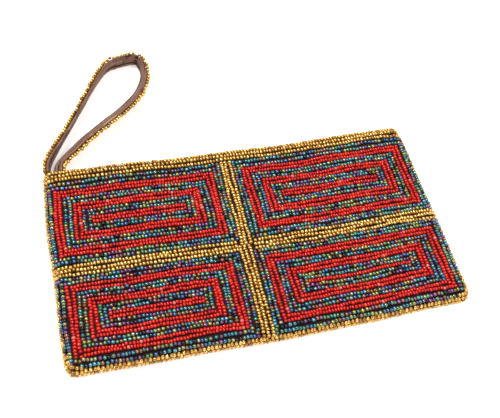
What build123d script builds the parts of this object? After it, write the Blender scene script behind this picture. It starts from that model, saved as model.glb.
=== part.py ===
"""A bead-covered coin purse with a zipped mouth and a wrist strap, in millimetres.

The purse lies on its back. X runs along the zipped edge, +Y points to that edge, +Z up through
the front face. The origin is the middle of the back face, which is flat on Z = 0.
Each half is a tray of cloth with a lining inside and a layer of beads outside. The back half
is fixed, and the front half turns up about its lower edge when the zip is open.
"""
from build123d import *
import math
import os

os.makedirs("parts", exist_ok=True)

# Pouch
width = 204.0  # along X, over the beads
depth = 112.0  # along Y, over the beads
height = 12.0  # over both bead layers
corner = 5.0  # outline's corner radius
roll = 4.0  # radius by which the beadwork turns down at an edge
bead = 2.0  # thickness of one layer of beads
cloth = 0.7
lining = 0.5
clear = 0.3  # gap between two bodies that move apart
middle = height / 2
beyond = 150.0  # farther out than any part of the purse, for cutting

# Beadwork on each face, with X and Y as seen on the front
top_band = 47.7  # Y from which the top band of gold runs to the edge
cross_band = (-9.0, -2.3)  # Y
upright_band = (-8.9, -1.8)  # X
lowest_row = -54.8  # Y where the two lower fields end
ring_count = 5  # rings round the core of each field
ring_along = 4.8  # width of a ring where it runs in Y; its width elsewhere is a share of the field
edging_half = 2.2  # the gold edging covers the seam this far each way

# Zip
mouth_half = 94.0  # half the opening between the side seams
mouth_inner = 43.7  # Y where the lining stops
tape = 0.4
tape_inner = 44.0
chain_y = 51.6
chain_range = (-72.2, 90.0)  # X
tooth_depth = 1.4  # along Y
tooth_gap = 0.5  # from the middle to each row of teeth
tooth_chamfer = 0.2
chain_edge = 1.8  # from the middle to the outer side of a row
stop_length = 1.6
stop_depth = 1.8
stop_proud = 0.8  # how far a stop stands past its row of teeth
stop_gap = 0.4
slider_x = 86.0  # closed
slider_length = 8.4
slider_half = 2.6
slider_corner = 1.2
plate = 0.9
pull_length = 12.5

# Wrist strap: a band of folded cloth with beads on its outer side, standing on its edge
strap_width = 9.5
strap_cloth = 1.0
strap_beads = 2.0
strap_thickness = strap_cloth + strap_beads
strap_floor = 0.5  # the strap's lowest edge


def pillow(inset):
    """The whole pouch, made smaller on every side by inset."""
    smallest_corner = 0.6
    with BuildPart() as block:
        with BuildSketch(Plane.XY.offset(inset)):
            RectangleRounded(width - 2 * inset, depth - 2 * inset, max(corner - inset, 2 * smallest_corner))
        extrude(amount=height - 2 * inset)
        level_edges = block.edges().group_by(Axis.Z)
        fillet(level_edges[0] + level_edges[-1], radius=max(roll - inset, smallest_corner))
    return block.part


def shell(inset, thickness):
    """A closed skin of the pouch, with its outer side at inset."""
    with BuildPart() as skin:
        add(pillow(inset))
        add(pillow(inset + thickness), mode=Mode.SUBTRACT)
    return skin.part


def slab(low, high, x_range=(-beyond, beyond), y_range=(-beyond, beyond)):
    """A box between two heights, used to cut the skins and for flat strips."""
    with BuildPart() as block:
        with BuildSketch(Plane.XY.offset(low)):
            with Locations(((x_range[0] + x_range[1]) / 2, (y_range[0] + y_range[1]) / 2)):
                Rectangle(x_range[1] - x_range[0], y_range[1] - y_range[0])
        extrude(amount=high - low)
    return block.part


def keep(node, label):
    """Names a finished piece and writes it."""
    node.part.label = label
    export_step(node.part, f"parts/{label}.step")


bead_skin = shell(0, bead)
cloth_skin = shell(bead, cloth)
lining_skin = shell(bead + cloth, lining)
inner_low = bead + cloth
inner_high = height - inner_low
mouth = slab(inner_low, inner_high, (-mouth_half, mouth_half), (mouth_inner, beyond))
halves = {
    "back": slab(-beyond, middle - clear / 2),
    "front": slab(middle + clear / 2, beyond),
}
beaded_heights = {
    "back": (-beyond, middle - edging_half),
    "front": (middle + edging_half + clear, beyond),
}

# Cloth panels and linings
for side, half in halves.items():
    with BuildPart() as panel:
        add(cloth_skin)
        add(half, mode=Mode.INTERSECT)
        add(mouth, mode=Mode.SUBTRACT)
    keep(panel, f"{side}_panel")

    with BuildPart() as inside:
        add(lining_skin)
        add(half, mode=Mode.INTERSECT)
        add(slab(-beyond, beyond, y_range=(mouth_inner, beyond)), mode=Mode.SUBTRACT)
    keep(inside, f"{side}_lining")

# Beadwork: a gold cross and top band, and four fields of nested coloured rings on each face
columns = {"left": (-width / 2, upright_band[0]), "right": (upright_band[1], width / 2)}
rows = {"upper": (cross_band[1], top_band), "lower": (lowest_row, cross_band[0])}


def centred(x_range, y_range, mode=Mode.ADD):
    """Draws the rectangle between two X and two Y in the current sketch."""
    with Locations(((x_range[0] + x_range[1]) / 2, (y_range[0] + y_range[1]) / 2)):
        Rectangle(x_range[1] - x_range[0], y_range[1] - y_range[0], mode=mode)


def field_edge(level, x_range, y_range):
    """X and Y of the outer edge of ring number level, which past the purse's edge is far out."""
    ring_across = (y_range[1] - y_range[0]) / (2 * ring_count + 1)
    x_low = x_range[0] + level * ring_along
    x_high = x_range[1] - level * ring_along
    y_low = y_range[0] + level * ring_across
    y_high = y_range[1] - level * ring_across
    if level == 0:
        x_low = -beyond if x_range[0] == -width / 2 else x_low
        x_high = beyond if x_range[1] == width / 2 else x_high
        y_low = -beyond if y_range[0] == lowest_row else y_low
    return (x_low, x_high), (y_low, y_high)


for side, (low, high) in beaded_heights.items():
    with BuildPart() as gold:
        with BuildSketch(Plane.XY.offset(low)):
            centred((-beyond, beyond), (top_band, beyond))
            centred((-beyond, beyond), cross_band)
            centred(upright_band, (-beyond, beyond))
        extrude(amount=high - low)
        add(bead_skin, mode=Mode.INTERSECT)
        add(mouth, mode=Mode.SUBTRACT)
    keep(gold, f"{side}_gold_beadwork")

    for row_name, y_range in rows.items():
        for column_name, x_range in columns.items():
            for colour, first in (("iris", 0), ("red", 1)):
                with BuildPart() as beadwork:
                    for level in range(first, ring_count + 1, 2):
                        with BuildSketch(Plane.XY.offset(low)):
                            centred(*field_edge(level, x_range, y_range))
                            if level < ring_count:
                                centred(*field_edge(level + 1, x_range, y_range), mode=Mode.SUBTRACT)
                    extrude(amount=high - low)
                    add(bead_skin, mode=Mode.INTERSECT)
                keep(beadwork, f"{side}_{colour}_beadwork_{row_name}_{column_name}")

# Gold edging whipped over the seam round the two sides and the lower edge
with BuildPart() as edging:
    add(shell(0, bead - clear))
    add(slab(middle - edging_half, middle + edging_half), mode=Mode.INTERSECT)
    add(slab(-beyond, beyond, (-mouth_half, mouth_half), (mouth_inner, beyond)), mode=Mode.SUBTRACT)
keep(edging, "edge_beading")


# Zip: tapes sewn inside the mouth, a chain of teeth facing out, and its stops
def across(low, high):
    """A pair of heights for one side's zip piece, mirrored about the middle for the back."""
    return {"front": (low, high), "back": (height - high, height - low)}


mouth_x = (-mouth_half, mouth_half)
tape_y = (chain_y - tape / 2, chain_y + tape / 2)
tooth_y = (chain_y - tooth_depth / 2, chain_y + tooth_depth / 2)
stop_y = (chain_y - stop_depth / 2, chain_y + stop_depth / 2)
tape_flat = across(inner_high - tape, inner_high)
tape_turn = across(middle + chain_edge, inner_high - tape)
tooth_row = across(middle + tooth_gap, middle + chain_edge)
stop_span = across(middle + tooth_gap, middle + chain_edge + stop_proud)
top_stop_x = (chain_range[1] + stop_gap, chain_range[1] + stop_gap + stop_length)
bottom_stop_x = (chain_range[0] - stop_gap / 2 - stop_length, chain_range[0] - stop_gap / 2)
for side in halves:
    with BuildPart() as zip_tape:
        add(slab(*tape_flat[side], mouth_x, (tape_inner, tape_y[1])))
        add(slab(*tape_turn[side], mouth_x, tape_y))
    keep(zip_tape, f"zipper_tape_{side}")

    with BuildPart() as teeth:
        add(slab(*tooth_row[side], chain_range, tooth_y))
        chamfer(teeth.edges().filter_by(Axis.X), length=tooth_chamfer)
    keep(teeth, f"zipper_teeth_{side}")

    with BuildPart() as stop:
        add(slab(*stop_span[side], top_stop_x, stop_y))
        fillet(stop.edges().filter_by(Axis.X), radius=clear)
        add(slab(*tape_turn[side], mouth_x, tape_y), mode=Mode.SUBTRACT)
    keep(stop, f"zipper_top_stop_{side}")

with BuildPart() as bottom_stop:
    add(slab(stop_span["back"][0], middle + chain_edge - clear, bottom_stop_x, stop_y))
    fillet(bottom_stop.edges().filter_by(Axis.X), radius=clear)
    add(slab(*tape_turn["back"], mouth_x, tape_y), mode=Mode.SUBTRACT)
keep(bottom_stop, "zipper_bottom_stop")

# Slider: two plates joined by a thin post between the rows of teeth, lips over the back tape,
# and a bail for the pull. Its front side is open, so that the front row can leave it.
plate_outer = tooth_y[1] + clear
plate_inner = tooth_y[0] - clear
bail_clear = 1.35  # along Y, inside
bail_wall = 0.8
bail_side = 0.7
bail_half = 1.5  # half its inside along X
bail_height = 1.4
bail_corner = 0.6
post_half = 0.2
post_range = (slider_x + 1.5, slider_x + 3.6)
lip = 0.5  # thickness
lip_reach = (tooth_depth - tape) / 2 - 0.05
pivot_y = plate_outer + plate + bail_clear / 2
slider_middle = (slider_x, middle)
lip_half = slider_length / 2 - slider_corner
lip_x = (slider_x - lip_half, slider_x + lip_half)
lip_z = (middle - slider_half, middle - slider_half + lip)
with BuildPart() as slider:
    for face, thickness in ((plate_outer, plate), (plate_inner, -plate)):
        with BuildSketch(Plane.XZ.offset(-face)):
            with Locations(slider_middle):
                RectangleRounded(slider_length, 2 * slider_half, slider_corner)
        extrude(amount=-thickness)
    add(slab(*lip_z, lip_x, (plate_outer - lip_reach, plate_outer)))
    add(slab(*lip_z, lip_x, (plate_inner, plate_inner + lip_reach)))
    add(slab(middle - post_half, middle + post_half, post_range, (plate_inner, plate_outer)))
    with BuildSketch(Plane.XY.offset(middle - bail_height / 2)):
        with Locations((slider_x, pivot_y + bail_wall / 2)):
            Rectangle(2 * bail_half + 2 * bail_side, bail_clear + bail_wall)
        with Locations((slider_x, pivot_y)):
            Rectangle(2 * bail_half, bail_clear, mode=Mode.SUBTRACT)
    extrude(amount=bail_height)
    bail_corners = slider.edges().filter_by(Axis.Z).group_by(Axis.Y)[-1]
    fillet(bail_corners, radius=bail_corner)
keep(slider, "slider_body")

# Pull: a flat tab with two ears and a crossbar that runs through the bail
pull_half = 2.0
pull_thickness = 0.8
pull_hole = 3.0  # the slot's middle, from the pull's tip
slot_length = 3.2
slot_width = 1.6
ear_inner = 1.0
ear_width = pull_half - ear_inner
ear_reach = 3.1
ear_overlap = 0.8
ear_radius = 0.44
bar_radius = 0.35
bar_overlap = 0.2
with BuildPart() as pull:
    with BuildSketch(Plane.XZ.offset(-pivot_y)):
        with Locations((slider_x - (ear_reach + pull_length) / 2, middle)):
            RectangleRounded(pull_length - ear_reach, 2 * pull_half, slider_corner)
        with Locations((slider_x - pull_length + pull_hole, middle)):
            SlotOverall(slot_length, slot_width, mode=Mode.SUBTRACT)
    extrude(amount=pull_thickness / 2, both=True)
    for ear_low in (middle - pull_half, middle + ear_inner):
        with BuildSketch(Plane.XY.offset(ear_low)):
            with Locations((slider_x - (ear_reach + ear_overlap) / 2, pivot_y)):
                Rectangle(ear_reach + ear_overlap, pull_thickness)
            with Locations((slider_x, pivot_y)):
                Circle(ear_radius)
        extrude(amount=ear_width)
    with BuildSketch(Plane.XY.offset(middle - ear_inner - bar_overlap)):
        with Locations((slider_x, pivot_y)):
            Circle(bar_radius)
    extrude(amount=2 * (ear_inner + bar_overlap))
keep(pull, "zipper_pull")


# Wrist strap. Each station is a point of the cloth's inner lower edge in plan, and how far the
# band leans outward there, in degrees. The band leaves the corner, goes round and comes back.
left_end = [(-96.95, 56.6, 4), (-97.1, 58.2, 3)]
left_neck = [(-97.15, 58.8, 2), (-97.2, 61.0, 0), (-96.8, 64.0, -4), (-94.6, 69.0, -7)]
loop = [
    (-94.3, 69.5, -7), (-90.9, 76.1, -8), (-83.3, 89.3, -8), (-73.2, 107.2, -8),
    (-65.8, 120.7, -8), (-58.6, 130.2, -7), (-54.7, 133.6, -5), (-50.3, 134.8, -3),
    (-45.1, 134.6, -3), (-40.6, 132.8, -2), (-38.9, 129.6, 8), (-39.2, 125.0, 18),
    (-40.6, 119.5, 27), (-42.6, 114.3, 34), (-45.5, 109.4, 38), (-55.3, 99.6, 40),
    (-69.6, 88.9, 40), (-80.2, 79.9, 40), (-87.0, 73.0, 40), (-91.2, 68.7, 39),
]
right_neck = [(-91.8, 68.1, 39), (-93.6, 66.2, 38), (-95.3, 62.6, 34), (-95.75, 58.9, 32)]
right_end = [(-95.8, 58.2, 32), (-96.05, 56.8, 32)]
whole_band = left_end + left_neck + loop + right_neck + right_end


def band_planes(stations):
    """A plane across the band at each station, X through its thickness and Y up its width."""
    planes = []
    for station in stations:
        place = whole_band.index(station)
        before = whole_band[max(place - 1, 0)]
        after = whole_band[min(place + 1, len(whole_band) - 1)]
        along = Vector(after[0] - before[0], after[1] - before[1]).normalized()
        outward = Vector(-along.Y, along.X)
        lean = math.radians(station[2])
        through = outward * math.cos(lean) - Vector(0, 0, math.sin(lean))
        rise = strap_floor + strap_thickness * max(math.sin(lean), 0)
        planes.append(Plane(origin=(station[0], station[1], rise), x_dir=through, z_dir=along))
    return planes


def band(stations, inner, outer):
    """The part of the band between two depths, along these stations."""
    with BuildPart() as piece:
        for across_band in band_planes(stations):
            with BuildSketch(across_band):
                with Locations(((inner + outer) / 2, strap_width / 2)):
                    Rectangle(outer - inner, strap_width)
        loft(ruled=True)
    return piece.part


layers = {"cloth": (0, strap_cloth), "beads": (strap_cloth, strap_thickness)}
lengths = {
    "strap_end": [left_end, right_end],
    "strap_neck": [left_neck, right_neck],
    "strap_loop": [loop],
}
for length_name, runs in lengths.items():
    for layer_name, (inner, outer) in layers.items():
        with BuildPart() as strap:
            for run in runs:
                add(band(run, inner, outer))
        keep(strap, f"{length_name}_{layer_name}")
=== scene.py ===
"""Looks of a bead-covered coin purse: thousands of threaded beads, cloth, zip and wrist strap.

Lengths below are in millimetres until a mesh is made. The purse lies on its back, with the zipped
edge towards +Y and the strap at the left end of it.
"""
import math

import bpy
import numpy as np
from mathutils import Matrix, Vector


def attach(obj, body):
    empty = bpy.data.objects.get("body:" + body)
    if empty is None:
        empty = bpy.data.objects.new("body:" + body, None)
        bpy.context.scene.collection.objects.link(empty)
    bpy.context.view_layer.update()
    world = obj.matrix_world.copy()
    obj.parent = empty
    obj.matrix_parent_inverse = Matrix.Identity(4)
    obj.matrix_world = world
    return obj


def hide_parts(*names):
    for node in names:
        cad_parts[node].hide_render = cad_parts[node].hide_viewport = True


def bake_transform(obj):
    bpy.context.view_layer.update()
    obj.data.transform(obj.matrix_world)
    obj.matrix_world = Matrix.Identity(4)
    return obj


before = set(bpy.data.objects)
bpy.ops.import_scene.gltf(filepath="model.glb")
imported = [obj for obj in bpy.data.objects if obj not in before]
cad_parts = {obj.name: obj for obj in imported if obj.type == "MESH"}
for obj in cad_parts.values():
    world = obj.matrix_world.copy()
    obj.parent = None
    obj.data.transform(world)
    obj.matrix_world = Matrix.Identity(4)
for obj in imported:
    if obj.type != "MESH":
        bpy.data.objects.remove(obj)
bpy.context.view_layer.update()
MM = 0.001
rng = np.random.default_rng(20)

# ---------------------------------------------------------------- the pouch's surface
MIDDLE = 6.0  # height of the seam between the front and the back
LAYER = 4.95  # from the middle height to the bead centres on a face
# Where a face's surface turns straight down, in plan
EDGES = {"left": -100.7, "right": 101.8, "low": -56.0, "high": 55.5}
# How far in from an edge a face starts to turn down, and how square that turn is
BENDS = {"left": 6.0, "right": 6.0, "low": 9.0, "high": 3.2}
POWERS = {"left": 3.0, "right": 3.0, "low": 3.0, "high": 2.2}


def turn_table(reach, drop, power):
    """Arc length against reach along the curve by which a face turns down at an edge."""
    angle = np.linspace(0, math.pi / 2, 200)
    across = reach * np.sin(angle) ** (2 / power)
    down = drop * (1 - np.cos(angle))
    steps = np.hypot(np.diff(across), np.diff(down))
    return np.concatenate([[0], np.cumsum(steps)]), across


TABLES = {side: turn_table(BENDS[side], LAYER, POWERS[side]) for side in EDGES}


def fold(flat, low_side, high_side):
    """Plan coordinate of a point given by its place in the flat pattern, along one direction."""
    low_core = EDGES[low_side] + BENDS[low_side]
    high_core = EDGES[high_side] - BENDS[high_side]
    low = low_core - np.interp(low_core - flat, *TABLES[low_side])
    high = high_core + np.interp(flat - high_core, *TABLES[high_side])
    return np.where(flat < low_core, low, np.where(flat > high_core, high, flat))


def share(value, low_side, high_side, inset):
    """How far along its turn a plan coordinate is, raised to that turn's power."""
    low_reach = max(BENDS[low_side] - inset, 1.0)
    high_reach = max(BENDS[high_side] - inset, 1.0)
    low = (EDGES[low_side] + inset + low_reach - value) / low_reach
    high = (value - EDGES[high_side] + inset + high_reach) / high_reach
    return np.clip(low, 0, None) ** POWERS[low_side] + np.clip(high, 0, None) ** POWERS[high_side]


def smooth(value):
    value = np.clip(value, 0, 1)
    return value * value * (3 - 2 * value)


def swell(value, middle, width):
    """A smooth hump of height 1 about one place."""
    return np.exp(-(((value - middle) / width) ** 2))


def sway(x, y):
    """Small shifts in plan, the same for every layer: the purse isn't quite square."""
    near_left = smooth((-x - 60) / 40)
    mouth_wave = np.sin(x / 13 + 1.0) * 0.6 - 0.4 * swell(x, -5, 50)
    up = 1.5 * smooth((x - 15) / 85) - 0.55 * swell(x, 8, 45) + 0.18 * np.sin(x / 9 + y / 40)
    up = up + 0.35 * smooth((y - 20) / 35) * mouth_wave
    side = 0.28 * np.sin(y / 8 + x / 30) * 0.6 + 0.5 * swell(y, -48, 14) * near_left
    side = side - 0.5 * swell(y, 22, 16) * near_left
    side = side + 0.9 * smooth((y - 40) / 16) * near_left
    side = side - 0.9 * smooth((y - 42) / 14) * smooth((x - 70) / 30)
    return x + side, y + up


def crown(x, y):
    """A little unevenness of height."""
    waves = np.sin(x / 17 + 0.6) * np.cos(y / 14) + 0.6 * np.sin(x / 29 - y / 19 + 2)
    return 0.16 * waves


def place(x, y, side, inset=0.0):
    """Points of the pouch over plan places x, y. side is 1 for the front and -1 for the back."""
    drop = share(x, "left", "right", inset) + share(y, "low", "high", inset)
    height = np.sqrt(np.clip(1 - drop, 0, 1)) * (LAYER - inset)
    lift = crown(x, y) * np.clip(1 - drop, 0, 1) * (side > 0)
    sx, sy = sway(x, y)
    return np.stack([sx, sy, MIDDLE + side * height + lift], -1)


def pattern(u, v, side):
    return place(fold(u, "left", "right"), fold(v, "low", "high"), side)


# ---------------------------------------------------------------- meshes
def fill_mesh(mesh, points, quads, material_index=None, smooth_shading=True):
    """Fills a mesh from arrays: points in millimetres and faces of four corners."""
    mesh.vertices.add(len(points))
    mesh.vertices.foreach_set("co", (np.asarray(points, np.float32) * MM).ravel())
    mesh.loops.add(quads.size)
    mesh.loops.foreach_set("vertex_index", quads.astype(np.int32).ravel())
    mesh.polygons.add(len(quads))
    mesh.polygons.foreach_set("loop_start", np.arange(0, quads.size, 4, dtype=np.int32))
    if material_index is not None:
        mesh.polygons.foreach_set("material_index", material_index.astype(np.int32))
    mesh.update(calc_edges=True)
    mesh.polygons.foreach_set("use_smooth", np.full(len(quads), smooth_shading))
    mesh.validate()


def tube_quads(rings, sides):
    """Faces of a tube open at both ends, from its rings of corners."""
    i, j = np.meshgrid(np.arange(rings - 1), np.arange(sides), indexing="ij")
    nj = (j + 1) % sides
    corners = (i * sides + j, i * sides + nj, (i + 1) * sides + nj, (i + 1) * sides + j)
    return np.stack(corners, -1).reshape(-1, 4)


def piece(name, points, quads, materials, material_index=None, smooth_shading=True):
    mesh = bpy.data.meshes.new(name)
    for material in materials:
        mesh.materials.append(material)
    fill_mesh(mesh, points, quads, material_index, smooth_shading)
    thing = bpy.data.objects.new(name, mesh)
    bpy.context.scene.collection.objects.link(thing)
    return thing


# Half section of a bead: place along its hole as a share of its length, and share of its radius
BEAD_SECTION = np.array([
    (-0.41, 0.30), (-0.50, 0.54), (-0.38, 0.89), (0.0, 1.0), (0.38, 0.89), (0.50, 0.54), (0.41, 0.30),
])
ON_TABLE = 0.52  # lowest height of a bead's centre, as a share of its width


class Beads:
    """Beads gathered for one piece: centre, hole direction, outward direction, length, width, shade."""

    def __init__(self):
        self.rows = []

    def add(self, centres, axes, outs, lengths, widths, shades):
        count = len(centres)
        if count:
            on_table = np.maximum(centres[:, 2], ON_TABLE * np.asarray(widths))
            centres = np.column_stack([centres[:, :2], on_table])
            full = lambda value: np.broadcast_to(np.asarray(value, float), (count,))
            self.rows.append((centres, axes, outs, full(lengths), full(widths), full(shades)))

    def split(self, test):
        """Two sets: where test of the centres is true, and the rest."""
        yes, no = Beads(), Beads()
        for row in self.rows:
            mask = test(row[0])
            for target, chosen in ((yes, mask), (no, ~mask)):
                if chosen.any():
                    target.rows.append(tuple(part[chosen] for part in row))
        return yes, no

    def build(self, name, materials, segments=10):
        centres, axes, outs, lengths, widths, shades = (np.concatenate(part) for part in zip(*self.rows))
        count = len(centres)
        axes = axes + rng.normal(0, 0.07, (count, 3))
        axes /= np.linalg.norm(axes, axis=1)[:, None]
        outs = outs - (outs * axes).sum(1)[:, None] * axes
        outs /= np.linalg.norm(outs, axis=1)[:, None]
        sides = np.cross(axes, outs)
        turn = np.arange(segments) * 2 * math.pi / segments
        along = BEAD_SECTION[:, 0]
        round_ = BEAD_SECTION[:, 1]
        squash = 1 + rng.normal(0, 0.02, count)
        ring = (
            np.cos(turn)[None, :, None] * outs[:, None, :] * squash[:, None, None]
            + np.sin(turn)[None, :, None] * sides[:, None, :]
        )
        points = (
            centres[:, None, None, :]
            + along[None, :, None, None] * lengths[:, None, None, None] * axes[:, None, None, :]
            + round_[None, :, None, None] * widths[:, None, None, None] / 2 * ring[:, None, :, :]
        )
        per_bead = len(along) * segments
        k, j = np.meshgrid(np.arange(len(along)), np.arange(segments), indexing="ij")
        nk, nj = (k + 1) % len(along), (j + 1) % segments
        corners = (k * segments + j, nk * segments + j, nk * segments + nj, k * segments + nj)
        one = np.stack(corners, -1).reshape(-1, 4)
        quads = (one[None] + (np.arange(count) * per_bead)[:, None, None]).reshape(-1, 4)
        index = np.repeat(shades.astype(int), len(one))
        return piece(name, points.reshape(-1, 3), quads, materials, index)


def corner_fan(x, y):
    """Near the two lower corners, where gold stitches reach farther up the face."""
    return (y < EDGES["low"] + 8) & ((x < EDGES["left"] + 7) | (x > EDGES["right"] - 7))


GAP_CHANCE = 0.11  # share of the beads with a wider gap after them
FACE_END = 0.96  # how far round its turn a face's beadwork reaches
CORNER_END = 0.42  # and the same at the two lower corners, which the edging covers


def run(beads, start, end, pitch, width, side, shades, gap):
    """Threads beads along a straight line of the flat pattern."""
    start, end = np.array(start, float), np.array(end, float)
    length = np.linalg.norm(end - start)
    count = max(int(round(length / pitch)), 1)
    spacing = rng.normal(1, 0.09, count)
    spacing += (rng.random(count) < GAP_CHANCE) * gap
    spacing *= length / spacing.sum()
    middles = np.cumsum(spacing) - spacing / 2
    direction = (end - start) / max(length, 1e-6)
    normal = np.array([-direction[1], direction[0]])
    wander = 0.28 * np.sin(middles / rng.uniform(5, 9) + rng.uniform(0, 6)) + rng.normal(0, 0.14, count)
    flat = start + middles[:, None] * direction + wander[:, None] * normal
    plan_x, plan_y = fold(flat[:, 0], "left", "right"), fold(flat[:, 1], "low", "high")
    turned = share(plan_x, "left", "right", 0.0) + share(plan_y, "low", "high", 0.0)
    kept = (turned < FACE_END) & ~(corner_fan(plan_x, plan_y) & (turned > CORNER_END))
    if not kept.any():
        return
    flat, spacing, count = flat[kept], spacing[kept], int(kept.sum())
    step = 0.05
    here = pattern(flat[:, 0], flat[:, 1], side)
    ahead = pattern(flat[:, 0] + direction[0] * step, flat[:, 1] + direction[1] * step, side)
    beside = pattern(flat[:, 0] + normal[0] * step, flat[:, 1] + normal[1] * step, side)
    axes, across = ahead - here, beside - here
    axes /= np.maximum(np.linalg.norm(axes, axis=1)[:, None], 1e-9)
    outs = np.cross(axes, across) * side
    outs /= np.maximum(np.linalg.norm(outs, axis=1)[:, None], 1e-9)
    centres = here + outs * rng.normal(0, 0.05, count)[:, None]
    lengths = np.minimum(spacing, pitch * 1.08) * rng.uniform(0.80, 0.94, count)
    widths = width * rng.uniform(0.85, 0.98, count)
    beads.add(centres, axes, outs, lengths, widths, rng.choice(len(shades), count, p=shades))


# ---------------------------------------------------------------- materials
def material(name):
    made = bpy.data.materials.new(name)
    made.use_nodes = True
    tree = made.node_tree
    return made, tree, tree.nodes["Principled BSDF"]


def noise(tree, scale, detail=2.0):
    place_node = tree.nodes.new("ShaderNodeTexCoord")
    texture = tree.nodes.new("ShaderNodeTexNoise")
    texture.inputs["Scale"].default_value = scale
    texture.inputs["Detail"].default_value = detail
    tree.links.new(place_node.outputs["Object"], texture.inputs["Vector"])
    return texture


NOISE_RANGE = (0.3, 0.7)  # where nearly all of a noise's values lie


def spread(tree, source, low, high):
    """Stretches a noise to run from low to high."""
    node = tree.nodes.new("ShaderNodeMapRange")
    node.inputs["From Min"].default_value = NOISE_RANGE[0]
    node.inputs["From Max"].default_value = NOISE_RANGE[1]
    node.inputs["To Min"].default_value = low
    node.inputs["To Max"].default_value = high
    tree.links.new(source, node.inputs["Value"])
    return node.outputs["Result"]


def bead_material(name, colour, metal, rough, coat, specular=0.5):
    """One shade of bead. Its roughness varies from bead to bead and over each bead."""
    made, tree, shader = material(name)
    shader.inputs["Base Color"].default_value = (*colour, 1)
    shader.inputs["Metallic"].default_value = metal
    shader.inputs["Coat Weight"].default_value = coat
    shader.inputs["Coat Roughness"].default_value = 0.06
    shader.inputs["Specular IOR Level"].default_value = specular
    texture = noise(tree, 620.0)
    varied = spread(tree, texture.outputs["Fac"], rough * 0.7, rough * 1.35)
    tree.links.new(varied, shader.inputs["Roughness"])
    return made


GOLD = [
    bead_material("gold_a", (0.66, 0.375, 0.085), 0.8, 0.30, 0.12),
    bead_material("gold_b", (0.53, 0.285, 0.06), 0.8, 0.33, 0.12),
    bead_material("gold_c", (0.78, 0.49, 0.15), 0.8, 0.28, 0.12),
    bead_material("gold_d", (0.33, 0.165, 0.035), 0.7, 0.36, 0.12),
]
CROSS_GOLD_SHARES = [0.42, 0.15, 0.38, 0.05]
TOP_GOLD_SHARES = [0.37, 0.31, 0.15, 0.17]
RED = [
    bead_material("red_a", (0.50, 0.010, 0.005), 0.0, 0.24, 0.08, 0.35),
    bead_material("red_b", (0.34, 0.006, 0.005), 0.0, 0.27, 0.08, 0.35),
    bead_material("red_c", (0.64, 0.022, 0.010), 0.0, 0.22, 0.08, 0.35),
    bead_material("red_d", (0.60, 0.12, 0.10), 0.0, 0.27, 0.08, 0.35),
]
RED_SHARES = [0.55, 0.24, 0.19, 0.02]
IRIS = [
    bead_material("iris_teal", (0.040, 0.185, 0.21), 0.6, 0.26, 0.18),
    bead_material("iris_blue", (0.042, 0.115, 0.235), 0.6, 0.26, 0.18),
    bead_material("iris_purple", (0.125, 0.055, 0.14), 0.6, 0.28, 0.18),
    bead_material("iris_green", (0.115, 0.205, 0.085), 0.6, 0.26, 0.18),
    bead_material("iris_olive", (0.30, 0.285, 0.085), 0.6, 0.28, 0.18),
    bead_material("iris_salmon", (0.29, 0.125, 0.085), 0.6, 0.28, 0.18),
    bead_material("iris_sky", (0.10, 0.28, 0.36), 0.6, 0.25, 0.18),
    bead_material("iris_dark", (0.016, 0.018, 0.028), 0.6, 0.25, 0.18),
    bead_material("iris_violet", (0.21, 0.09, 0.22), 0.6, 0.28, 0.18),
    bead_material("iris_sea", (0.10, 0.29, 0.22), 0.6, 0.26, 0.18),
    bead_material("iris_bronze", (0.22, 0.10, 0.030), 0.6, 0.28, 0.18),
    bead_material("iris_pale", (0.30, 0.33, 0.20), 0.6, 0.26, 0.18),
]
IRIS_SHARES = [0.13, 0.12, 0.10, 0.10, 0.11, 0.08, 0.07, 0.08, 0.06, 0.06, 0.06, 0.03]


def cloth_material(name, colours, weave, rough=0.85, sheen=0.0, bump=0.0002, specular=0.1):
    """Woven cloth: crossed threads in height and colour, with a broad unevenness."""
    made, tree, shader = material(name)
    nodes, links = tree.nodes, tree.links
    place_node = nodes.new("ShaderNodeTexCoord")
    bands = []
    for direction in ("X", "Y"):
        wave = nodes.new("ShaderNodeTexWave")
        wave.bands_direction = direction
        wave.inputs["Scale"].default_value = weave
        wave.inputs["Distortion"].default_value = 1.2
        wave.inputs["Detail"].default_value = 1.0
        links.new(place_node.outputs["Object"], wave.inputs["Vector"])
        bands.append(wave)
    threads = nodes.new("ShaderNodeMath")
    threads.operation = "MAXIMUM"
    links.new(bands[0].outputs["Fac"], threads.inputs[0])
    links.new(bands[1].outputs["Fac"], threads.inputs[1])
    broad = noise(tree, 90.0, 3.0)
    mixed = nodes.new("ShaderNodeMath")
    mixed.operation = "MULTIPLY_ADD"
    mixed.inputs[1].default_value = 0.5
    links.new(threads.outputs[0], mixed.inputs[0])
    links.new(spread(tree, broad.outputs["Fac"], 0.0, 0.5), mixed.inputs[2])
    ramp = nodes.new("ShaderNodeValToRGB")
    ramp.color_ramp.elements[0].color = (*colours[0], 1)
    ramp.color_ramp.elements[1].color = (*colours[1], 1)
    links.new(mixed.outputs[0], ramp.inputs["Fac"])
    links.new(ramp.outputs["Color"], shader.inputs["Base Color"])
    relief = nodes.new("ShaderNodeBump")
    relief.inputs["Distance"].default_value = bump
    relief.inputs["Strength"].default_value = 0.8
    links.new(threads.outputs[0], relief.inputs["Height"])
    links.new(relief.outputs["Normal"], shader.inputs["Normal"])
    shader.inputs["Roughness"].default_value = rough
    shader.inputs["Sheen Weight"].default_value = sheen
    shader.inputs["Specular IOR Level"].default_value = specular
    return made


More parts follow.
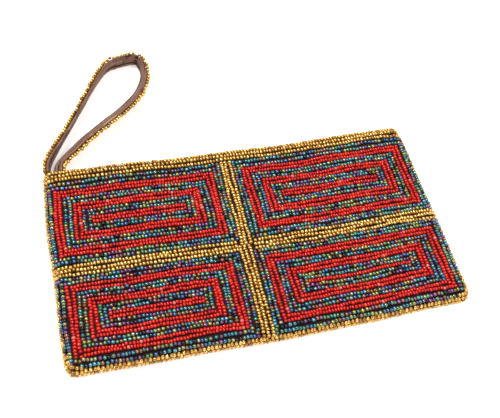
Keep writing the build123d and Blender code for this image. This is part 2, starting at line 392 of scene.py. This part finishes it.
BASE_CLOTH = cloth_material("base_cloth", ((0.007, 0.003, 0.004), (0.028, 0.010, 0.010)), 260.0)
LINING_CLOTH = cloth_material(
    "lining_cloth", ((0.060, 0.028, 0.022), (0.17, 0.085, 0.066)), 240.0, specular=0.2
)
STRAP_WEAVE = 200.0
STRAP_BUMP = 0.00012
STRAP_CLOTH = cloth_material(
    "strap_cloth", ((0.075, 0.034, 0.022), (0.210, 0.110, 0.075)), STRAP_WEAVE, 0.75, 0.08, STRAP_BUMP, 0.15
)
# Dark strap cloth: painted shade in the creases, in the seam's groove and behind the tip's folds, where the
# wear streaks also dip
STRAP_SHADE_AND_WEAR = cloth_material(
    "strap_shade_and_wear", ((0.022, 0.009, 0.006), (0.070, 0.032, 0.022)), STRAP_WEAVE, 0.8, 0.0, STRAP_BUMP, 0.1
)
# Pale strap cloth: painted light on the crease ridges and on the ridge beside the seam, where the wear
# streaks also rise
STRAP_LIGHT_AND_WEAR = cloth_material(
    "strap_light_and_wear", ((0.130, 0.066, 0.045), (0.330, 0.195, 0.140)), STRAP_WEAVE, 0.75, 0.08, STRAP_BUMP, 0.15
)
TAPE_CLOTH = cloth_material("tape_cloth", ((0.010, 0.006, 0.006), (0.045, 0.028, 0.026)), 320.0, 0.8)


def brass_material(name, rough):
    made, tree, shader = material(name)
    shader.inputs["Metallic"].default_value = 1.0
    texture = noise(tree, 260.0, 5.0)
    ramp = tree.nodes.new("ShaderNodeValToRGB")
    ramp.color_ramp.elements[0].position = 0.3
    ramp.color_ramp.elements[0].color = (0.34, 0.21, 0.075, 1)
    ramp.color_ramp.elements[1].position = 0.62
    ramp.color_ramp.elements[1].color = (0.66, 0.46, 0.20, 1)
    tree.links.new(texture.outputs["Fac"], ramp.inputs["Fac"])
    tree.links.new(ramp.outputs["Color"], shader.inputs["Base Color"])
    fine = noise(tree, 900.0)
    varied = spread(tree, fine.outputs["Fac"], rough * 0.7, rough * 1.5)
    tree.links.new(varied, shader.inputs["Roughness"])
    return made


ZIP_METAL = brass_material("zip_metal", 0.24)
ZIP_TEETH = brass_material("zip_teeth", 0.32)


def settle(thing, side, nodes):
    """Hides the CAD nodes a piece stands for, then lets a piece of the back ride the root body, or applies a
    front piece's place to its mesh.
    """
    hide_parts(*nodes)
    if side == "back":
        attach(thing, "root")
        return
    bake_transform(thing)


# ---------------------------------------------------------------- beadwork of the faces
# Each field: its outer limits and those of its first red ring, along u and then along v, and its rows
FIELDS = {
    ("upper", "left"): ((-102.9, -8.3), (-97.2, -12.6), (-2.4, 47.5), (2.0, 41.9), 22),
    ("lower", "left"): ((-102.8, -9.5), (-96.6, -14.2), (-56.0, -9.3), (-50.8, -13.6), 22),
    ("upper", "right"): ((-1.3, 102.0), (3.0, 96.4), (-2.4, 47.5), (2.0, 41.9), 22),
    ("lower", "right"): ((-2.6, 101.9), (2.1, 96.0), (-56.0, -9.3), (-50.8, -13.6), 21),
}
IRIS_PITCH = 1.88
RED_PITCH = 1.56
COLUMN_PITCH = 1.62
GOLD_PITCH = 1.84
LANES = 11  # nested rings of one field, counted in from its limits
FULL_ROWS = 22  # two rows for each lane
LANE_HALF = 1.2
COLUMN_LANE = 2.3  # distance between upright lanes inside the first red ring
RIGHT_COLUMN_LANE = 2.42  # and the same at the far right
ROW_WIDTH = 0.97  # width of a bead in a level row, as a share of the row pitch
COLUMN_WIDTHS = (2.2, 2.25)


def lane_places(limit, first_red, other_pitch, count):
    """Middles of the lanes in from one limit: two outside the first red ring, then the rest."""
    outer = (first_red - limit) / 2
    sign = 1 if first_red > limit else -1
    places = [limit + outer * (lane + 0.5) for lane in (0, 1)]
    return places + [first_red + sign * other_pitch * (lane + 0.5) for lane in range(count - 2)]


def field_beads(key, side):
    """The nested rings of one field, as iris beads and red beads."""
    (u_low, u_high), (red_left, red_right), (v_low, v_high), (red_low, red_high), row_count = FIELDS[key]
    row_pitch = (red_high - red_low) / (row_count - 4)
    row_width = row_pitch * ROW_WIDTH
    right_lane = RIGHT_COLUMN_LANE if key[1] == "right" else COLUMN_LANE
    lefts = lane_places(u_low, red_left, COLUMN_LANE, LANES)
    rights = lane_places(u_high, red_right, right_lane, LANES)
    lows = lane_places(v_low, red_low, row_pitch, LANES)
    highs = lane_places(v_high, red_high, row_pitch, LANES)
    iris, red = Beads(), Beads()
    for lane in range(LANES):
        is_red = (lane // 2) % 2 == 1
        target, shades = (red, RED_SHARES) if is_red else (iris, IRIS_SHARES)
        pitch = RED_PITCH if is_red else IRIS_PITCH
        style = (side, shades, 0.25 if is_red else 0.5)
        left, right, low, high = lefts[lane], rights[lane], lows[lane], highs[lane]
        if lane == LANES - 1:
            for level in (low, high) if row_count == FULL_ROWS else (low,):
                start, end = (left - LANE_HALF, level), (right + LANE_HALF, level)
                run(target, start, end, pitch, row_width, *style)
            continue
        if side < 0 and lane == 0:
            left, right = left + 0.5, right - 0.5
        for u, width in zip((left, right), COLUMN_WIDTHS):
            run(target, (u, low - 1.0), (u, high + 1.0), COLUMN_PITCH, width, *style)
        for level in (low, high):
            start, end = (left + LANE_HALF, level), (right - LANE_HALF, level)
            run(target, start, end, pitch, row_width, *style)
    return iris, red


# The upright of the cross: its limits along u, its limits along v and its lean
UPRIGHT = {"upper": ((-8.3, -1.3), (-5.5, 47.6), 0.25), "lower": ((-9.5, -2.6), (-56.3, -5.5), -0.25)}
LEVEL_LOW, LEVEL_HEIGHT = -9.3, 6.9  # the cross's level arm
LEVEL_ARMS = ((-102.5, -9.5), (-1.3, 102.0))
TOP_ARM = (-100.9, 101.4)
TOP_ROWS = ((48.8, 2.4), (51.3, 2.4), (53.6, 2.25), (55.35, 2.0))  # place and bead width
CROSS_ROWS = 3


def gold_beads(side):
    """The cross and the top band."""
    gold = Beads()
    for step in range(CROSS_ROWS):
        for (low, high), (v_from, v_to), lean in UPRIGHT.values():
            u = low + (high - low) * (step + 0.5) / CROSS_ROWS
            start, end = (u - lean, v_from), (u + lean, v_to)
            run(gold, start, end, COLUMN_PITCH * 1.02, 2.28, side, CROSS_GOLD_SHARES, 0.4)
    for row in range(CROSS_ROWS):
        v = LEVEL_LOW + LEVEL_HEIGHT * (row + 0.5) / CROSS_ROWS
        for start, end in LEVEL_ARMS:
            run(gold, (start, v), (end, v), GOLD_PITCH, 2.25, side, CROSS_GOLD_SHARES, 0.5)
    for v, width in TOP_ROWS:
        run(gold, (TOP_ARM[0], v), (TOP_ARM[1], v), GOLD_PITCH, width, side, TOP_GOLD_SHARES, 0.4)
    return gold


def left_half(centres):
    return centres[:, 0] < 0


for side_name, side in (("front", 1), ("back", -1)):
    segments = 10 if side > 0 else 8
    for row_name, column_name in FIELDS:
        iris, red = field_beads((row_name, column_name), side)
        for colour, beads, shades in (("iris", iris, IRIS), ("red", red, RED)):
            name = f"{side_name}_{colour}_{row_name}_{column_name}"
            thing = beads.build(name, shades, segments)
            node = f"{side_name}_{colour}_beadwork_{row_name}_{column_name}"
            settle(thing, side_name, [node])
    gold = gold_beads(side)
    node = f"{side_name}_gold_beadwork"
    if side < 0:
        settle(gold.build("back_gold", GOLD, segments), "back", [node])
    else:
        for half_name, half in zip(("left", "right"), gold.split(left_half)):
            settle(half.build(f"front_gold_{half_name}", GOLD, segments), "front", [node])


# ---------------------------------------------------------------- whipped gold edging
def outline():
    """The pouch's outline at the middle height, from the zip's left end round to its right end."""
    points = []
    corners = (
        ("left", "high", -1, 1), ("left", "low", -1, -1), ("right", "low", 1, -1), ("right", "high", 1, 1),
    )
    turn = np.linspace(0, math.pi / 2, 40)
    for number, (x_name, y_name, x_sign, y_sign) in enumerate(corners):
        angle = turn if number % 2 else turn[::-1]
        across, up = BENDS[x_name], BENDS[y_name]
        px = EDGES[x_name] - x_sign * across + x_sign * across * np.cos(angle) ** (2 / POWERS[x_name])
        py = EDGES[y_name] - y_sign * up + y_sign * up * np.sin(angle) ** (2 / POWERS[y_name])
        points.append(np.stack([px, py], -1))
    return np.concatenate(points)


def along_path(points, distances):
    """Points at these distances along a broken line."""
    steps = np.linalg.norm(np.diff(points, axis=0), axis=1)
    total = np.concatenate([[0], np.cumsum(steps)])
    found = [np.interp(distances, total, points[:, k]) for k in range(points.shape[1])]
    return np.stack(found, -1), total[-1]


EDGE_GOLD_SHARES = [0.37, 0.28, 0.19, 0.16]
EDGE_PITCH = 1.95
EDGE_SEAT = 0.5  # how far the stitches stand outside the pouch's outline
EDGE_REACH = 7.0  # how far in the stitches' curve runs
EDGE_LEVELS = (2.20, 0.30, -1.65, -3.5, 3.75)  # the bead rows' heights from the middle
EDGE_LENGTH, EDGE_WIDTH = 1.64, 1.80
SPARSE_ROW, CORNER_ROW = 3, 4  # rows with beads left out, and with beads only at the lower corners


def edging_beads():
    """Gold stitches of a few beads each, side by side round the outline."""
    path = outline()
    _, length = along_path(path, np.array([0.0]))
    count = int(length / EDGE_PITCH)
    base = (np.arange(count) + 0.5) * length / count + rng.normal(0, 0.08, count)
    here, _ = along_path(path, base)
    ahead, _ = along_path(path, base + 0.8)
    behind, _ = along_path(path, base - 0.8)
    forward = ahead - behind
    forward /= np.linalg.norm(forward, axis=1)[:, None]
    normal = np.stack([forward[:, 1], -forward[:, 0]], -1)
    if np.dot(normal[count // 2], here[count // 2]) < 0:
        normal = -normal
    edging = Beads()
    slant = rng.normal(0.18, 0.13, count)
    for number, step in enumerate(EDGE_LEVELS):
        level = step + rng.normal(0, 0.1, count)
        angle = np.arcsin(np.clip(level / LAYER, -0.95, 0.95))
        inward = EDGE_REACH * (1 - np.cos(angle) ** (2 / 3))
        stagger = EDGE_PITCH * (0.5 * (number % 2) + rng.normal(0, 0.07, count))
        shift = (slant * step * 0.5 + stagger)[:, None] * forward
        plan = here + normal * (EDGE_SEAT - inward)[:, None] + shift
        sx, sy = sway(plan[:, 0], plan[:, 1])
        centres = np.stack([sx, sy, MIDDLE + LAYER * np.sin(angle)], -1)
        run_in = EDGE_REACH * (2 / 3) * np.tan(angle) * np.cos(angle) ** (2 / 3)
        slope = np.arctan2(run_in, LAYER * np.cos(angle))
        axes = np.stack([-normal[:, 0] * np.sin(slope), -normal[:, 1] * np.sin(slope), np.cos(slope)], -1)
        axes[:, :2] += slant[:, None] * forward * 0.5
        axes /= np.linalg.norm(axes, axis=1)[:, None]
        outs = np.stack([normal[:, 0] * np.cos(slope), normal[:, 1] * np.cos(slope), np.sin(slope)], -1)
        kept = np.ones(count, bool)
        if number == SPARSE_ROW:
            kept = rng.random(count) < 0.75
        if number == CORNER_ROW:
            kept = corner_fan(here[:, 0], here[:, 1])
        lengths = EDGE_LENGTH * rng.uniform(0.9, 1.05, count)
        widths = EDGE_WIDTH * rng.uniform(0.90, 1.05, count)
        shades = rng.choice(4, count, p=EDGE_GOLD_SHARES)
        edging.add(centres[kept], axes[kept], outs[kept], lengths[kept], widths[kept], shades[kept])
    return edging


edging = edging_beads().build("edging", GOLD)
settle(edging, "back", ["edge_beading"])


# ---------------------------------------------------------------- cloth panels and linings
SEAM_GAP = 0.06  # half the gap between the front and back cloth at the seam
# Each layer: how far under the bead centres it starts, its thickness, how far it turns down at the mouth
PANEL_LAYER = (0.75, 0.8, 0.74)
LINING_LAYER = (1.65, 0.45, 0.2)
LINING_WRINKLE = 0.12


def grid_quads(rows, columns):
    i, j = np.meshgrid(np.arange(rows - 1), np.arange(columns - 1), indexing="ij")
    corner = i * columns + j
    return np.stack([corner, corner + 1, corner + columns + 1, corner + columns], -1).reshape(-1, 4)


def turn_stations(low_side, high_side, inset, high_share, span):
    """Plan coordinates across the pouch, close together where it turns down at an edge in the span."""
    low_edge, high_edge = EDGES[low_side] + inset, EDGES[high_side] - inset
    low_core = low_edge + max(BENDS[low_side] - inset, 1.0)
    high_core = high_edge - max(BENDS[high_side] - inset, 1.0)
    turn = np.sin(np.linspace(0, math.pi / 2, 9))
    low = low_edge + (low_core - low_edge) * (1 - turn[::-1])
    high = high_core + (high_edge - high_core) * turn * high_share
    if span == "left":
        return np.concatenate([low, np.linspace(low_core, 0, 28)[1:]])
    if span == "right":
        return np.concatenate([np.linspace(0, high_core, 28)[:-1], high])
    return np.concatenate([low, np.linspace(low_core, high_core, 48)[1:-1], high])


def skin(name, side, span, layer, cloth, wrinkle=0.0):
    """A closed sheet of cloth that follows the pouch: its left half, its right half or the whole."""
    inset, thickness, top_share = layer
    layers = []
    for depth in (inset, inset + thickness):
        xs = turn_stations("left", "right", depth, 1.0, span)
        ys = turn_stations("low", "high", depth, top_share, "whole")
        x, y = np.meshgrid(xs, ys)
        rows, columns = x.shape
        drop = share(x, "left", "right", depth) + share(y, "low", "high", depth)
        over = np.maximum(drop, 1.0) ** (-1 / 3)
        core_x = np.clip(x, EDGES["left"] + BENDS["left"], EDGES["right"] - BENDS["right"])
        core_y = np.clip(y, EDGES["low"] + BENDS["low"], EDGES["high"] - BENDS["high"])
        x = core_x + (x - core_x) * over
        y = core_y + (y - core_y) * over
        points = place(x, y, side, depth)
        soft = np.sin(x / 11 + y / 23) * np.sin(y / 15 - x / 37 + 1) + 0.5 * np.sin(x / 5.3 - y / 9)
        points[..., 2] -= side * wrinkle * (0.5 + 0.5 * soft) * np.clip(1 - drop, 0, 1)
        points[..., 2] += side * SEAM_GAP
        layers.append(points.reshape(-1, 3))
    size = rows * columns
    face = grid_quads(rows, columns)
    rim = np.concatenate([
        np.arange(columns),
        np.arange(2 * columns - 1, size, columns),
        np.arange(size - 2, size - columns - 1, -1),
        np.arange(size - 2 * columns, 0, -columns),
    ])
    following = np.roll(rim, -1)
    wall = np.stack([rim, rim + size, following + size, following], -1)
    quads = np.concatenate([face, face[:, ::-1] + size, wall])
    if side < 0:
        quads = quads[:, ::-1]
    return piece(name, np.concatenate(layers), quads, [cloth])


for side_name, side in (("front", 1), ("back", -1)):
    for span in ("left", "right") if side > 0 else ("whole",):
        ending = f"_{span}" if side > 0 else ""
        panel = skin(f"{side_name}_cloth{ending}", side, span, PANEL_LAYER, BASE_CLOTH)
        settle(panel, side_name, [f"{side_name}_panel"])
        name = f"{side_name}_inside{ending}"
        inside = skin(name, side, span, LINING_LAYER, LINING_CLOTH, LINING_WRINKLE)
        settle(inside, side_name, [f"{side_name}_lining"])


# ---------------------------------------------------------------- wrist strap
# The band's lower inner edge: x, y and lean in degrees
LEFT_RUN = [(-96.95, 56.3, 4), (-97.1, 58.2, 3), (-97.2, 61.0, 0), (-96.8, 64.0, -4), (-94.6, 69.0, -7)]
FAR_RUN = [
    (-90.9, 76.1, -13), (-83.3, 89.3, -16), (-73.2, 107.2, -16), (-65.8, 120.2, -14), (-59.0, 129.3, -9),
    (-55.4, 131.9, -5), (-50.3, 133.2, -2), (-45.1, 134.2, 0), (-41.2, 134.7, 0), (-39.6, 133.9, 1),
    (-39.0, 131.2, 5), (-38.6, 129.0, 10), (-38.4, 125.0, 16), (-39.9, 119.5, 25), (-42.4, 114.3, 34),
    (-45.5, 109.4, 42), (-55.3, 99.6, 46), (-69.6, 88.9, 46), (-80.2, 79.9, 44), (-87.0, 73.0, 42),
]
RIGHT_RUN = [(-91.5, 68.4, 39), (-93.6, 66.2, 38), (-95.3, 62.6, 34), (-95.75, 58.9, 32), (-96.05, 56.5, 32)]
BAND_WIDTH = 9.5
BAND_GOLD_SHARES = [0.30, 0.32, 0.20, 0.18]
BAND_CLOTH = 1.0
BAND_THICK = 3.0
BAND_FLOOR = 0.75
BAND_ROWS = 5
BAND_PITCH, BAND_BEAD_LENGTH, BAND_BEAD_WIDTH = 1.86, 1.72, 2.0
TIP = np.array([-40.0, 133.3])  # where the band folds over at its far end


def rounded(points, passes=3):
    """Cuts the corners of a broken line a few times."""
    points = np.asarray(points, float)
    for _ in range(passes):
        near = points[:-1] * 0.75 + points[1:] * 0.25
        far = points[:-1] * 0.25 + points[1:] * 0.75
        middle = np.stack([near, far], 1).reshape(-1, points.shape[1])
        points = np.concatenate([points[:1], middle, points[-1:]])
    return points


BAND_PATH = rounded(LEFT_RUN + FAR_RUN + RIGHT_RUN)
_, BAND_LENGTH = along_path(BAND_PATH[:, :2], np.array([0.0]))
band_steps = np.concatenate([[0], np.cumsum(np.linalg.norm(np.diff(BAND_PATH[:, :2], axis=0), axis=1))])
TIP_FOLD = band_steps[np.argmin(np.hypot(*(BAND_PATH[:, :2] - TIP).T))]
# Each crease: its place along the band, its slant across it and its height
TIP_FOLDS = ((TIP_FOLD - 1.0, 0.22, 0.7), (TIP_FOLD - 9.0, 0.95, 0.6))


def band_frame(distance):
    """Inner lower edge, direction, direction through the thickness and up the width of the band."""
    station = np.stack([np.interp(distance, band_steps, BAND_PATH[:, k]) for k in range(3)], -1)
    ahead = np.stack([np.interp(distance + 0.7, band_steps, BAND_PATH[:, k]) for k in range(2)], -1)
    behind = np.stack([np.interp(distance - 0.7, band_steps, BAND_PATH[:, k]) for k in range(2)], -1)
    along = ahead - behind
    along /= np.linalg.norm(along, axis=1)[:, None]
    lean = np.radians(station[:, 2])
    zero = np.zeros(len(distance))
    outward = np.stack([-along[:, 1], along[:, 0], zero], -1)
    up = np.array([0.0, 0.0, 1.0])
    through = outward * np.cos(lean)[:, None] - up * np.sin(lean)[:, None]
    width = outward * np.sin(lean)[:, None] + up * np.cos(lean)[:, None]
    height = BAND_FLOOR + BAND_THICK * np.sin(np.maximum(lean, 0))
    corner = np.stack([station[:, 0], station[:, 1], height], -1)
    return corner, np.stack([along[:, 0], along[:, 1], zero], -1), through, width


def band_beads():
    """Rows of gold beads along the outer side of the band, a little ragged at its two edges."""
    beads = Beads()
    for row in range(BAND_ROWS):
        count = int(BAND_LENGTH / BAND_PITCH)
        spacing = rng.normal(1, 0.06, count)
        distance = np.cumsum(spacing) - spacing / 2
        distance *= BAND_LENGTH / spacing.sum()
        corner, along, through, width = band_frame(distance)
        edge = row in (0, BAND_ROWS - 1)
        level = 0.95 + (BAND_WIDTH - 1.9) * row / (BAND_ROWS - 1) + rng.normal(0, 0.10 + 0.10 * edge, count)
        depth = BAND_CLOTH + 1.0 + rng.normal(0, 0.12, count) + 0.7 * edge * rng.random(count)
        level = level - 0.8 * swell(distance - TIP_FOLD, -9, 8) * row / (BAND_ROWS - 1)
        centres = corner + through * depth[:, None] + width * level[:, None]
        if edge:
            out = -1.0 if row == 0 else 1.0
            strays = rng.random(count) < 0.3
            centres = centres + width * (out * 0.45 * strays * rng.random(count))[:, None]
        shades = rng.choice(4, count, p=BAND_GOLD_SHARES)
        lengths = BAND_BEAD_LENGTH * rng.uniform(0.9, 1.04, count)
        widths = BAND_BEAD_WIDTH * rng.uniform(0.92, 1.06, count)
        beads.add(centres, along, through, lengths, widths, shades)
    return beads


# Limits on the cloth's tone, which is painted light and shade from the crease heights plus wear streaks
SHADE_AND_WEAR_BELOW, LIGHT_AND_WEAR_ABOVE = -0.42, 0.46  # the cloth is darker below the first and paler above the second


def band_cloth(name, first, last):
    """The folded cloth of the band between two distances, creased along its length, with painted shade in
    its creases and painted light on its ridges.
    """
    rows = max(int((last - first) / 0.7), 6)
    distance = np.linspace(first, last, rows)
    corner, along, through, width = band_frame(distance)
    across = 22
    t = np.linspace(0, 1, across)
    inner_w = 0.15 + (BAND_WIDTH - 0.3) * t
    crease = (
        0.30 * np.sin(inner_w[None, :] * 1.35 + 1.1 * np.sin(distance[:, None] / 23) + 0.5)
        + 0.16 * np.sin(inner_w[None, :] * 3.1 + distance[:, None] / 13 + 2 * np.sin(distance[:, None] / 31))
        + 0.10 * np.sin(distance[:, None] / 2.7 + inner_w[None, :] * 0.8)
    )
    seam = inner_w[None, :] - 3.3 - 0.5 * np.sin(distance[:, None] / 9)
    crease = crease - 0.9 * swell(seam, 0, 0.38) + 0.5 * swell(seam, 0.9, 0.6)
    wear = 0.30 * np.sin(distance[:, None] / 4.3 + inner_w[None, :] * 2.3) * np.sin(distance[:, None] / 7.7)
    # Tone: crease height gives painted shade in the valleys and the seam's groove and painted light on the
    # ridges; wear adds streaks
    painted_light_and_wear = crease + wear
    for fold_place, slant, height in TIP_FOLDS:
        from_fold = distance[:, None] - fold_place - slant * (inner_w[None, :] - 5.0)
        shadow = swell(from_fold, 1.6, 0.9)
        crease = crease + height * swell(from_fold, 0, 0.75) - 0.6 * height * shadow
        # painted shadow just past each crease of the tip
        painted_light_and_wear = painted_light_and_wear - 1.2 * height * shadow
    edge = np.clip(np.minimum(t, 1 - t) / 0.09, 0, 1)
    round_edge = np.sqrt(1 - (1 - edge) ** 2)
    inner_depth = BAND_CLOTH * 0.5 - (0.5 * BAND_CLOTH + 0.15 + crease * 0.55) * round_edge[None, :]
    outer_depth = BAND_CLOTH * 0.5 + 0.5 * BAND_CLOTH * round_edge
    loop_w = np.concatenate([inner_w, inner_w[::-1]])
    loop_d = np.concatenate([inner_depth, np.broadcast_to(outer_depth[::-1], inner_depth.shape)], 1)
    points = corner[:, None, :] + through[:, None, :] * loop_d[..., None]
    points = points + width[:, None, :] * loop_w[None, :, None]
    sections = 2 * across
    quads = tube_quads(rows, sections)[:, ::-1]
    caps = []
    for start, flip in ((0, False), ((rows - 1) * sections, True)):
        for k in range(across - 1):
            quad = [start + k, start + k + 1, start + sections - 2 - k, start + sections - 1 - k]
            caps.append(quad[::-1] if flip else quad)
    # Inner faces take the painted-shade cloth or the painted-light cloth by their tone
    shade = np.zeros((rows - 1, sections), int)
    shade[:, : across - 1] = np.where(painted_light_and_wear[1:, 1:] < SHADE_AND_WEAR_BELOW, 1, np.where(painted_light_and_wear[1:, 1:] > LIGHT_AND_WEAR_ABOVE, 2, 0))
    shades = np.concatenate([shade.ravel(), np.zeros(len(caps), int)])
    quads = np.concatenate([quads, np.array(caps)])
    return piece(name, points.reshape(-1, 3), quads, [STRAP_CLOTH, STRAP_SHADE_AND_WEAR, STRAP_LIGHT_AND_WEAR], shades)


NECK_BASE = np.array([-96.5, 57.0])
NECK_WAY = np.array([0.6, 0.8])
NECK_SPLIT = 8.25


def neck_reach(points):
    return (points[..., :2] - NECK_BASE) @ NECK_WAY


near_beads, far_beads = band_beads().split(lambda centres: neck_reach(centres) < NECK_SPLIT)
samples = np.linspace(0, BAND_LENGTH, 2000)
reaches = neck_reach(band_frame(samples)[0])
leaves = samples[np.argmax(reaches > NECK_SPLIT)]
returns = samples[len(samples) - 1 - np.argmax(reaches[::-1] > NECK_SPLIT)]
near_parts = [
    near_beads.build("strap_base_beads", GOLD),
    band_cloth("strap_base_cloth_out", 0.0, leaves),
    band_cloth("strap_base_cloth_back", returns, BAND_LENGTH),
]
far_parts = [far_beads.build("strap_loop_gold", GOLD), band_cloth("strap_loop_band", leaves, returns)]
for thing in near_parts:
    kind = "beads" if thing is near_parts[0] else "cloth"
    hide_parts(f"strap_end_{kind}", f"strap_neck_{kind}")
    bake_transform(thing)
for thing in far_parts:
    kind = "beads" if thing is far_parts[0] else "cloth"
    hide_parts(f"strap_loop_{kind}")
    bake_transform(thing)


# ---------------------------------------------------------------- zip
CHAIN_Y = 51.6
TOOTH_PITCH = 1.5
CHAIN = (-72.2, 90.0)
MOUTH_HALF = 94.0
# The tape's section, from its upper free edge round the turned edge and back underneath
TAPE_SECTION = np.array([
    (44.0, 2.86), (47.0, 2.86), (49.6, 2.86), (51.0, 2.84), (51.68, 2.6), (51.78, 2.1), (51.76, 1.2),
    (51.46, 1.2), (51.45, 2.0), (51.42, 2.5), (51.34, 2.67), (50.9, 2.69), (47.0, 2.68), (44.0, 2.68),
])


def tape(name, side, x_range):
    """Zip tape: sewn flat under the panel, then turned towards the other tape at the teeth."""
    xs = np.linspace(*x_range, 80)
    count = len(TAPE_SECTION)
    ripple = 0.02 * np.sin(xs / 3.1) + 0.03 * np.sin(xs / 11)
    points = np.zeros((len(xs), count, 3))
    points[..., 0] = xs[:, None]
    points[..., 1] = TAPE_SECTION[None, :, 0] + ripple[:, None]
    points[..., 2] = MIDDLE + side * TAPE_SECTION[None, :, 1]
    quads = tube_quads(len(xs), count)
    caps = []
    half = count // 2
    for start, flip in ((0, False), ((len(xs) - 1) * count, True)):
        for k in range(half - 1):
            quad = [start + k, start + count - 1 - k, start + count - 2 - k, start + k + 1]
            caps.append(quad[::-1] if flip else quad)
    quads = np.concatenate([quads, np.array(caps)])
    if side > 0:
        quads = quads[:, ::-1]
    return piece(name, points.reshape(-1, 3), quads, [TAPE_CLOTH])


# Half width along X, half depth along Y and height from the middle plane, ring by ring
TOOTH = [(0.20, 0.42, 0.25), (0.38, 0.52, 0.33), (0.42, 0.58, 0.46), (0.30, 0.62, 0.72), (0.36, 0.70, 1.0),
         (0.46, 0.70, 1.42), (0.38, 0.62, 1.68), (0.14, 0.34, 1.77)]
STOP = [(0.45, 0.55, 0.50), (0.72, 0.80, 0.62), (0.80, 0.90, 0.95), (0.68, 0.84, 1.35), (0.80, 0.90, 1.75),
        (0.74, 0.82, 2.40), (0.45, 0.50, 2.60)]
STOP_X = 91.2


def metal_blocks(name, rings, centres, side, metal):
    """Small pressed metal blocks in a row on the tape's edge, each with chamfered corners."""
    corners = [(-1, -0.7), (-0.7, -1), (0.7, -1), (1, -0.7), (1, 0.7), (0.7, 1), (-0.7, 1), (-1, 0.7)]
    one = np.array([[cx * hx, cy * hy, z] for hx, hy, z in rings for cx, cy in corners])
    count, sides = len(one), len(corners)
    quads = tube_quads(len(rings), sides)
    top = (len(rings) - 1) * sides
    caps = [[3, 2, 1, 0], [7, 4, 3, 0], [7, 6, 5, 4]]
    caps += [[top + k for k in quad[::-1]] for quad in caps]
    quads = np.concatenate([quads, np.array(caps)])
    if side < 0:
        quads = quads[:, ::-1]
    points = np.zeros((len(centres), count, 3))
    points[..., 0] = centres[:, None] + one[None, :, 0]
    points[..., 1] = CHAIN_Y + one[None, :, 1]
    points[..., 2] = MIDDLE + side * one[None, :, 2]
    every = (quads[None] + (np.arange(len(centres)) * count)[:, None, None]).reshape(-1, 4)
    return piece(name, points.reshape(-1, 3), every, [metal], smooth_shading=False)


def teeth(name, side, x_range):
    """A row of separate teeth that mesh with the other row."""
    first = CHAIN[0] + 0.7 + (0.0 if side > 0 else TOOTH_PITCH / 2)
    centres = np.arange(first, CHAIN[1] - 0.3, TOOTH_PITCH)
    centres = centres[(centres >= x_range[0]) & (centres < x_range[1])]
    return metal_blocks(name, TOOTH, centres, side, ZIP_TEETH)


for side_name, side in (("front", 1), ("back", -1)):
    spans = {"": (-MOUTH_HALF, MOUTH_HALF)}
    if side > 0:
        spans = {"_left": (-MOUTH_HALF, 0.0), "_right": (0.0, MOUTH_HALF)}
    for ending, x_range in spans.items():
        strip = tape(f"{side_name}_tape{ending}", side, x_range)
        settle(strip, side_name, [f"zipper_tape_{side_name}"])
        row = teeth(f"{side_name}_teeth{ending}", side, x_range)
        settle(row, side_name, [f"zipper_teeth_{side_name}"])

stop = metal_blocks("front_stop_right", STOP, np.array([STOP_X]), 1, ZIP_METAL)
settle(stop, "front", ["zipper_top_stop_front"])
for node in ("slider_body", "zipper_pull", "zipper_top_stop_back", "zipper_bottom_stop"):
    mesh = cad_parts[node].data
    mesh.materials.clear()
    mesh.materials.append(ZIP_METAL)


# ---------------------------------------------------------------- floor, light, camera
def floor():
    mesh = bpy.data.meshes.new("floor")
    reach = 3.0
    corners = [(-reach, -reach, 0), (reach, -reach, 0), (reach, reach, 0), (-reach, reach, 0)]
    mesh.from_pydata(corners, [], [(0, 1, 2, 3)])
    made, tree, shader = material("floor_paper")
    texture = noise(tree, 40.0)
    tree.links.new(spread(tree, texture.outputs["Fac"], 0.75, 0.85), shader.inputs["Roughness"])
    shader.inputs["Base Color"].default_value = (0.93, 0.93, 0.93, 1)
    shader.inputs["Emission Color"].default_value = (1, 1, 1, 1)
    shader.inputs["Emission Strength"].default_value = 0.45
    mesh.materials.append(made)
    thing = bpy.data.objects.new("floor", mesh)
    bpy.context.scene.collection.objects.link(thing)


floor()


def area_light(name, spot, aim, size, power):
    data = bpy.data.lights.new(name, "AREA")
    data.shape = "DISK"
    data.size = size
    data.energy = power
    thing = bpy.data.objects.new(name, data)
    bpy.context.scene.collection.objects.link(thing)
    thing.location = spot
    thing.rotation_euler = (Vector(aim) - Vector(spot)).to_track_quat("-Z", "Y").to_euler()


area_light("key", spot=(-0.25, 0.35, 1.1), aim=(0, 0, 0), size=0.30, power=17)
area_light("fill", spot=(0.5, -0.5, 1.0), aim=(0, 0, 0), size=0.5, power=7)
SKY_LIGHT, SKY_SEEN = 0.42, 0.97  # the sky's strength as a light, and as the camera sees it
world = bpy.data.worlds.new("studio")
world.use_nodes = True
sky = world.node_tree.nodes["Background"]
sky.inputs["Color"].default_value = (1, 1, 1, 1)
seen = world.node_tree.nodes.new("ShaderNodeLightPath")
strength = world.node_tree.nodes.new("ShaderNodeMapRange")
strength.inputs["To Min"].default_value = SKY_LIGHT
strength.inputs["To Max"].default_value = SKY_SEEN
world.node_tree.links.new(seen.outputs["Is Camera Ray"], strength.inputs["Value"])
world.node_tree.links.new(strength.outputs["Result"], sky.inputs["Strength"])
bpy.context.scene.world = world
bpy.context.scene.view_settings.view_transform = "Standard"

camera_data = bpy.data.cameras.new("camera")
camera_data.lens = 51.98
camera_data.sensor_width = 36.0
camera = bpy.data.objects.new("camera", camera_data)
bpy.context.scene.collection.objects.link(camera)
right = Vector((0.9645, -0.2379, 0.1146))
up = Vector((0.1385, 0.8252, 0.5476))
ahead = Vector((0.2249, 0.5123, -0.8288))
turned = Matrix((right, up, -ahead)).transposed().to_4x4()
camera.matrix_world = Matrix.Translation((-0.0835, -0.1797, 0.3254)) @ turned
bpy.context.scene.camera = camera
